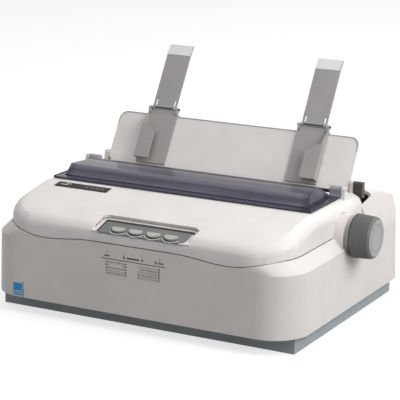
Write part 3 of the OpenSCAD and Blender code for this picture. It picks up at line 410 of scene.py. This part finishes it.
def panel_parts():
    """Film over the panel with painted shade along its rear and left edges and a painted highlight
    at its front right corner, and the four buttons with their trims, whose dark gaps are painted
    shade.
    """
    pitch = 22.6
    stems = [(i - 1.5) * pitch for i in range(4)]
    film = round_box(-55.4, -11.6, 55.6, 11.8, (1.2, 6.0, 2.5, 1.2))
    openings = [round_box(x - 5.8, -4.7, x + 5.8, -1.9, 0.6) for x in stems]
    sheet("panel_film", [film] + openings, 0.02, 0.12, ON_PANEL, "panel_grey", "housing")

    # Painted shade: a dark strip along the film's rear and left edges, where the step down into
    # its pocket lies in shadow.
    edge = [(-57.2, -10.6), (-55.4, -10.6), (-55.4, 11.8), (53.4, 11.8)]
    edge += arc(53.4, 9.4, 2.4, 90, 10, 4) + arc(54.0, 9.8, 5.0, 10, 90, 5)
    edge += [(-56.0, 14.8), (-57.2, 13.4)]
    sheet("panel_edge_shade", [edge], 0.02, 0.5, ON_PANEL, "pin_black", "housing", 0.15)

    # Painted highlight: a white strip round the film's front right corner and right edge, where
    # the edge of the recess catches the light.
    rim = arc(50.0, -5.4, 6.3, 270, 360, 6) + [(56.6, 8.0), (57.8, 8.0)]
    rim += arc(50.0, -5.4, 7.8, 360, 270, 6)
    sheet("panel_rim_highlight", [rim], 0.02, 0.7, ON_PANEL, "cover_white", "housing", 0.3)

    bed = [(-63.5, -11.0), (62.5, -11.0), (62.0, 14.0), (52.0, 26.0), (-58.0, 26.0),
           (-64.0, 13.0)]
    sheet("panel_bed", [bed], -1.6, -0.05, ON_PANEL, "cover_white", "housing", 0.2)

    # A cap stands beside its stem: straight at the rear, and bowed out at the front.
    cap_x, cap_y, half_width, bow, rear = 2.5, -5.2, 8.0, 4.5, 3.9
    radius = (half_width ** 2 + bow ** 2) / (2 * bow)
    spread = math.degrees(math.asin(half_width / radius))

    def front(offset):
        """The cap's bowed front, or a line outside it."""
        return arc(0, radius - bow, radius + offset, 270 - spread, 270 + spread, 14)

    # The dark gap trim is painted shade under the raised front of each cap; the white rim trim
    # lies on the film below it.
    trims = (("gap", 0.1, 1.9, 0.5, "pin_black"), ("rim", 2.0, 3.1, 0.6, "cover_white"))
    for i, x in enumerate(stems):
        name = f"button_{i + 1}"
        on_stem, on_cap = ON_PANEL @ at(x, 0, 0), ON_PANEL @ at(x + cap_x, cap_y, 0)
        cap = [(half_width, rear), (-half_width, rear)] + front(0)
        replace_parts(sheet(f"{name}_cap", [cap], 0.95, 3.1, on_cap, "button_white", name, 0.35),
                    name)
        sheet(f"{name}_neck", [round_box(-5.4, -4.4, 5.4, -2.1, 0.5)], -5.8, 1.0, on_stem,
              "button_white", name)
        sheet(f"{name}_flange", [round_box(-7.5, -4.9, 7.5, 1.9, 3.3)], -7.0, -1.3, on_stem,
              "button_white", name)
        for part, inner, outer, top, look in trims:
            ring = front(outer) + front(inner)[::-1]
            sheet(f"{name}_{part}", [ring], 0.13, top, on_cap, look, "housing")


def front_bars():
    """Plain bars and rules on the front wall, under the panel."""
    wall = nodes["lower_case"]
    proud, sunk = 0.06, 0.4                         # from the wall's face
    no_hit = -160.2                                 # where a ray meets no wall
    dark, pale = [], []

    def wall_y(x, z):
        hit, spot, _, _ = wall.ray_cast(Vector((x * MM, -0.3, z * MM)), Vector((0, 1, 0)))
        return spot.y / MM if hit else no_hit

    def bar(items, x0, z0, x1, z1):
        y = min(wall_y((x0 + x1) / 2, z) for z in (z0, z1))
        items.append(((x0, y - proud, z0), (x1, y + sunk, z1)))

    for x in (-33.0, -10.5, 11.9, 34.7):
        bar(pale, x - 0.3, 89.3, x + 0.3, 95.2 - 0.3 * abs(x) / 35)
    for corners in ((-41, 83.5, 41.7, 84.4), (-37.2, 86.6, -30.4, 88.2),
                    (-12.4, 86.6, -10.0, 89.2), (-7.6, 86.7, 8.6, 88.6),
                    (11.6, 86.6, 13.6, 89.0), (28.6, 86.4, 30.6, 89.6),
                    (32.8, 86.7, 39.6, 88.3)):
        bar(dark, *corners)

    # Two columns of rows, each with a mark at its ends, short strokes and a rule below.
    mark, stroke, head = 0.9, 0.4, 0.45             # half their heights
    columns = ((-33.9, -8.4), (8.1, 34.6))
    for row, z in enumerate((80.4, 77.1, 73.9, 70.5, 67.3)):
        for column, (x0, x1) in enumerate(columns):
            if (row, column) == (1, 0):
                bar(dark, x0 - 2.4, z - head, x0 + 3.2, z + head)
                bar(dark, x1 - 5.0, z - head, x1 + 1.6, z + head)
                continue
            bar(dark, x1 - 1.5, z - mark, x1 + 0.3, z + mark)
            if column == 0 or row > 2:
                bar(dark, x0 - 0.9, z - mark, x0 + 0.7, z + mark)
            x = x0 + 2.0
            for length in (5.0, 3.4, 6.2, 4.0):
                if x + length < x1 - 1.8:
                    ink = pale if (row + column) % 2 else dark
                    bar(ink, x, z - stroke, x + length, z + stroke)
                x += length + 0.9
            bar(pale, x0, z - 1.75, x1, z - 1.5)
    for x in (8.1, 34.4):
        bar(pale, x, 65.6, x + 0.3, 82.6)
    boxes("legend_dark", dark, "print_dark", "housing")
    boxes("legend_pale", pale, "print_pale", "housing")


def plates():
    """Plain bars on the nameplate, and a plain frame and lines on the blue label."""
    plate = at(-119, -75.5, 138.4, 8.3)
    low, high = 0.5, 0.66
    boxes("name_bars", [((-31, -1.0, low), (-20, 0.6, high)), ((-24, 2.2, low), (-17, 3.4, high))],
          "cover_white", "housing", plate)
    boxes("name_marks", [((x, -1.4, low), (x + 4.5, 1.4, high)) for x in (4, 11, 18, 25)],
          "knob_grey", "housing", plate)

    half_x, half_z, face, back = 7.3, 8.6, -0.75, -0.3
    level = ((-half_z, -7.6), (7.6, half_z), (-3.2, -2.2), (-5.6, -5.0))
    upright = ((-half_x, -6.5), (6.5, half_x))
    lines = [((-half_x, face, z0), (half_x, back, z1)) for z0, z1 in level]
    lines += [((x0, face, -half_z), (x1, back, half_z)) for x0, x1 in upright]
    lean = 1.5 / 75                                 # the front wall leans back
    boxes("label_lines", lines, "cover_white", "housing",
          at(-155, -161.5 + lean * 12.5, 29.5, -math.degrees(math.atan(lean))))


def knob():
    """Finely ribbed knob with a dark back edge and a dished face."""
    place = at(202.5, 0, 105.5) @ ALONG_X
    grip = [(21.0, 0.4), (24.4, 0.4), (25.3, 1.2), (25.5, 2.2, "ribbed"), (24.5, 21.0, "ribbed"),
            (24.0, 22.6), (22.9, 24.0), (21.5, 24.8), (17.0, 24.8), (13.5, 24.5), (10.0, 24.0),
            (6.0, 23.6), (2.0, 23.4)]
    face = [(21.4, 24.9), (21.0, 25.0), (17.0, 25.0), (13.5, 24.7), (10.0, 24.1), (6.0, 23.7),
            (1.5, 23.5)]
    back = [(24.9, -0.1), (25.6, -0.1), (25.7, 0.4), (25.6, 1.0), (24.9, 1.0)]
    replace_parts(lathe("knob_grip", grip, place, "knob_grey", "platen", steps=216, groove=0.5),
                "platen_knob")
    lathe("knob_face", face, place, "knob_face", "platen")
    lathe("knob_back", back, place, "pin_black", "platen")


def arm_pads():
    """Pale pads on the bent tips of the two arms, and a dark strip at each hinge, painted shade
    for the shadowed gap between arm and guide.
    """
    hinge, length, bend = 64.7, 72, -6.6
    tip = ON_TRAY @ at(0, -3.8, hinge) @ at(0, 0, length, bend)
    for side, sign in (("right", 1), ("left", -1)):
        x0, x1 = sorted((sign * 90.0, sign * 116.6))
        # Painted shade in the gap between the arm and its guide.
        boxes(f"arm_hinge_shade_{side}", [((x0, -6.44, hinge - 0.9), (x1, -6.1, hinge + 1.0))],
              "pin_black", f"arm_{side}", ON_TRAY)
        x0, x1 = sorted((sign * 87.1, sign * 119.5))
        boxes(f"arm_pad_{side}", [((x0, -1.5, 0.2), (x1, -1.05, 14.4))], "pad_white",
              f"arm_{side}", tip, 0.15)


def tray_parts():
    """Thin rim along the top of the tray, and its foot, down in the slot of the housing."""
    corner_x, corner_z, radius, low = 154, 46, 10.6, 40.0
    side = corner_x + radius
    outer = [(-side, low)] + arc(-corner_x, corner_z, radius, 180, 90, 8)
    outer += arc(corner_x, corner_z, radius, 90, 0, 8) + [(side, low)]
    inner = [(x * 0.993, z - 1.0) for x, z in reversed(outer)]
    sheet("tray_rim", [outer + inner], 1.25, 1.75, ON_TRAY @ UPRIGHT, "tray_edge",
          "paper_tray", 0.15)
    boxes("tray_foot", [((-161.5, -1.3, -10.6), (161.5, 0.9, -5.9))], "tray_white",
          "paper_tray", ON_TRAY, 0.2)


def lever():
    """Release lever: hub, stem and the short block that is held."""
    y, low, top = 63.0, 97.0, 152.5                 # pivot, and the top of the block
    block = [(y - 4, top - 18.5), (y + 4, top - 18.5), (y + 3.4, top - 1.5), (y + 2, top),
             (y - 3, top), (y - 4, top - 1.5)]
    stem = [(y - 4.6, low + 3), (y + 4.6, low + 3), (y + 3.6, top - 16), (y - 3.6, top - 16)]
    hub, bore = (arc(y, low, r, 0, 345, 23) for r in (6, 3.2))
    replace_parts(sheet("lever_block", [block], 172, 183, SIDEWAYS, "lever_dark",
                      "release_lever", 0.4), "release_lever")
    sheet("lever_stem", [stem], 174, 179, SIDEWAYS, "lever_dark", "release_lever", 0.2)
    sheet("lever_hub", [hub, bore], 172.5, 179, SIDEWAYS, "lever_dark", "release_lever", 0.2)


def cover_lines():
    """Dark lines along the edges of the smoked cover."""
    low, high, below = 142.72, 143.2, 141.0
    boxes("cover_edges", [
        ((-161.5, -46.9, low), (161.5, -45.9, high)),
        ((160.6, -46.5, low), (162.6, 16.5, high)),
        ((-162.6, -46.5, low), (-160.6, 16.5, high)),
        ((169.6, -57.6, below), (171.1, 16.0, high)),
        ((-171.1, -57.6, below), (-169.8, 16.0, high)),
        ((-171.0, -58.1, 140.6), (171.0, -57.6, 141.5)),
        ((-151.0, -3.2, 155.25), (151.0, -2.3, 155.6)),
    ], "pin_black", "smoked_cover")


def joint_line():
    """Painted shade: a dark strip in the joint between the lower case and the top cover, where the
    narrow gap lies in shadow.
    """
    half, corner, front = 185.0, 50.0, -161.5       # outline of the cover
    rear, bend = -22, -111                          # ends of its straight sides
    top, step, count = 109.5, 0.1, 170              # heights that are tried
    gap = 0.3                                       # the joint is open this far down
    proud, sunk, lap = 0.05, 0.6, 0.25              # section of the line
    case, cover = nodes["lower_case"], nodes["top_cover"]

    def rounded_corner(cx, start):
        for degrees in range(start, start + 91, 6):
            c, s = math.cos(math.radians(degrees)), math.sin(math.radians(degrees))
            yield cx + corner * c, front + corner + corner * s, -c, -s

    # Points round the cover as (x, y, inward x, inward y), from the left to the right side.
    path = [(-half, y, 1, 0) for y in range(rear, bend, -8)]
    path += rounded_corner(corner - half, 180)
    path += [(x, front, 0, 1) for x in range(-130, 131, 5)]
    path += rounded_corner(half - corner, 270)
    path += [(half, y, -1, 0) for y in range(bend + 2, rear, 8)]

    def face_at(obj, x, y, z, nx, ny):
        """Where a level ray from 30 mm outside meets an object, in mm."""
        start = Vector(((x - nx * 30) * MM, (y - ny * 30) * MM, z * MM))
        hit, spot, _, _ = obj.ray_cast(start, Vector((nx, ny, 0)), distance=0.06)
        return spot / MM if hit else None

    def joint_at(x, y, nx, ny):
        """The cover's lowest point and the case's highest one, just under it."""
        for k in range(count):
            z = top - step * k
            high = face_at(cover, x, y, z, nx, ny)
            low = face_at(case, x, y, z - 2 * gap, nx, ny)
            if high is None or low is None:
                continue
            if face_at(cover, x, y, z - gap, nx, ny) is None:
                return high, low
        return None

    bm = bmesh.new()
    rings = []
    for x, y, nx, ny in path:
        found = joint_at(x, y, nx, ny)
        if found is None:
            continue
        high, low = found
        inward, up = Vector((nx, ny, 0)), Vector((0, 0, lap))
        section = (high - inward * proud + up, low - inward * proud - up,
                   low + inward * sunk - up, high + inward * sunk + up)
        rings.append([bm.verts.new(p * MM) for p in section])
    for a, b in zip(rings, rings[1:]):
        for i in range(4):
            j = (i + 1) % 4
            bm.faces.new((a[i], a[j], b[j], b[i]))
    bm.faces.new(rings[0])
    bm.faces.new(list(reversed(rings[-1])))
    bmesh.ops.recalc_face_normals(bm, faces=bm.faces)
    # The strip is painted shade, in the dark ink of the legends.
    add_piece("joint_line", mesh_of("joint_line", bm), "print_dark", "housing")


# ---------- floor, light, camera ----------

def studio_floor():
    """Pale floor that lights little: what the camera sees is brighter than what it gives."""
    bm = bmesh.new()
    bmesh.ops.create_grid(bm, x_segments=8, y_segments=8, size=4.0)
    mesh = mesh_of("floor", bm)
    floor = bpy.data.objects.new("floor", mesh)
    bpy.context.scene.collection.objects.link(floor)
    n = Nodes("floor_paper")
    path = n.add("ShaderNodeLightPath")
    seen = path.outputs["Is Camera Ray"]
    for other in ("Is Glossy Ray", "Is Transmission Ray"):
        seen = n.math("MAXIMUM", seen, path.outputs[other])
    matte = n.add("ShaderNodeBsdfDiffuse", Color=(0.25, 0.25, 0.25, 1))
    pale = n.add("ShaderNodeBsdfDiffuse", Color=(0.45, 0.45, 0.45, 1))
    glow = n.add("ShaderNodeEmission", Color=(1, 1, 1, 1), Strength=0.68)
    both = n.add("ShaderNodeAddShader")
    n.put(both, "0", pale.outputs[0])
    n.put(both, "1", glow.outputs[0])
    pick = n.add("ShaderNodeMixShader")
    for i, v in enumerate((seen, matte.outputs[0], both.outputs[0])):
        n.put(pick, str(i), v)
    n.put(n.out, "Surface", pick.outputs[0])
    mesh.materials.append(n.mat)


def studio_world(strength):
    """White behind the object, and an even light of the given strength on it."""
    world = bpy.data.worlds.new("studio")
    bpy.context.scene.world = world
    world.use_nodes = True
    tree = world.node_tree
    tree.nodes.clear()
    path = tree.nodes.new("ShaderNodeLightPath")
    seen = path.outputs["Is Camera Ray"]
    for other in ("Is Glossy Ray", "Is Transmission Ray"):
        most = tree.nodes.new("ShaderNodeMath")
        most.operation = "MAXIMUM"
        tree.links.new(seen, most.inputs[0])
        tree.links.new(path.outputs[other], most.inputs[1])
        seen = most.outputs[0]
    level = tree.nodes.new("ShaderNodeMapRange")
    level.inputs[3].default_value = strength
    level.inputs[4].default_value = 1.0
    tree.links.new(seen, level.inputs[0])
    back = tree.nodes.new("ShaderNodeBackground")
    back.inputs["Color"].default_value = (1, 1, 1, 1)
    tree.links.new(level.outputs[0], back.inputs["Strength"])
    tree.links.new(back.outputs[0], tree.nodes.new("ShaderNodeOutputWorld").inputs[0])


def area_light(name, place, power, size):
    """Square lamp, aimed at the middle of the object."""
    light = bpy.data.lights.new(name, "AREA")
    light.energy, light.size = power, size
    obj = bpy.data.objects.new(name, light)
    bpy.context.scene.collection.objects.link(obj)
    obj.location = place
    aim = Vector((0.0, 0.0, 0.1)) - Vector(place)
    obj.rotation_euler = aim.to_track_quat("-Z", "Y").to_euler()


def photo_camera():
    """The photograph's view: azimuth 28.25, elevation 14.15 and roll 0.55 degrees."""
    a, e, roll = (math.radians(v) for v in (28.25, 14.15, 0.55))
    focal_px, width_px, distance = 1711, 400, 2.064
    target = Vector((-0.0086, 0.0140, 0.1173))
    back = Vector((math.sin(a) * math.cos(e), -math.cos(a) * math.cos(e), math.sin(e)))
    right = Vector((math.cos(a), math.sin(a), 0))
    up = Vector((-math.sin(a) * math.sin(e), math.cos(a) * math.sin(e), math.cos(e)))
    right, up = (right * math.cos(roll) + up * math.sin(roll),
                 up * math.cos(roll) - right * math.sin(roll))
    data = bpy.data.cameras.new("camera")
    data.sensor_width = 36
    data.lens = focal_px / width_px * data.sensor_width
    data.clip_start, data.clip_end = 0.05, 20
    camera = bpy.data.objects.new("camera", data)
    bpy.context.scene.collection.objects.link(camera)
    turn = Matrix((right, up, back)).transposed().to_4x4()
    camera.matrix_world = Matrix.Translation(target + back * distance) @ turn
    bpy.context.scene.camera = camera


panel_parts()
front_bars()
plates()
knob()
arm_pads()
tray_parts()
lever()
cover_lines()
joint_line()
studio_floor()
studio_world(strength=0.38)
area_light("key", place=(1.75, -0.20, 1.30), power=29.5, size=1.3)
area_light("fill", place=(0.0, -0.90, 2.40), power=9.5, size=1.5)
area_light("rear", place=(0.2, 2.0, 2.0), power=18, size=1.6)
photo_camera()
bpy.context.scene.view_settings.view_transform = "Standard"
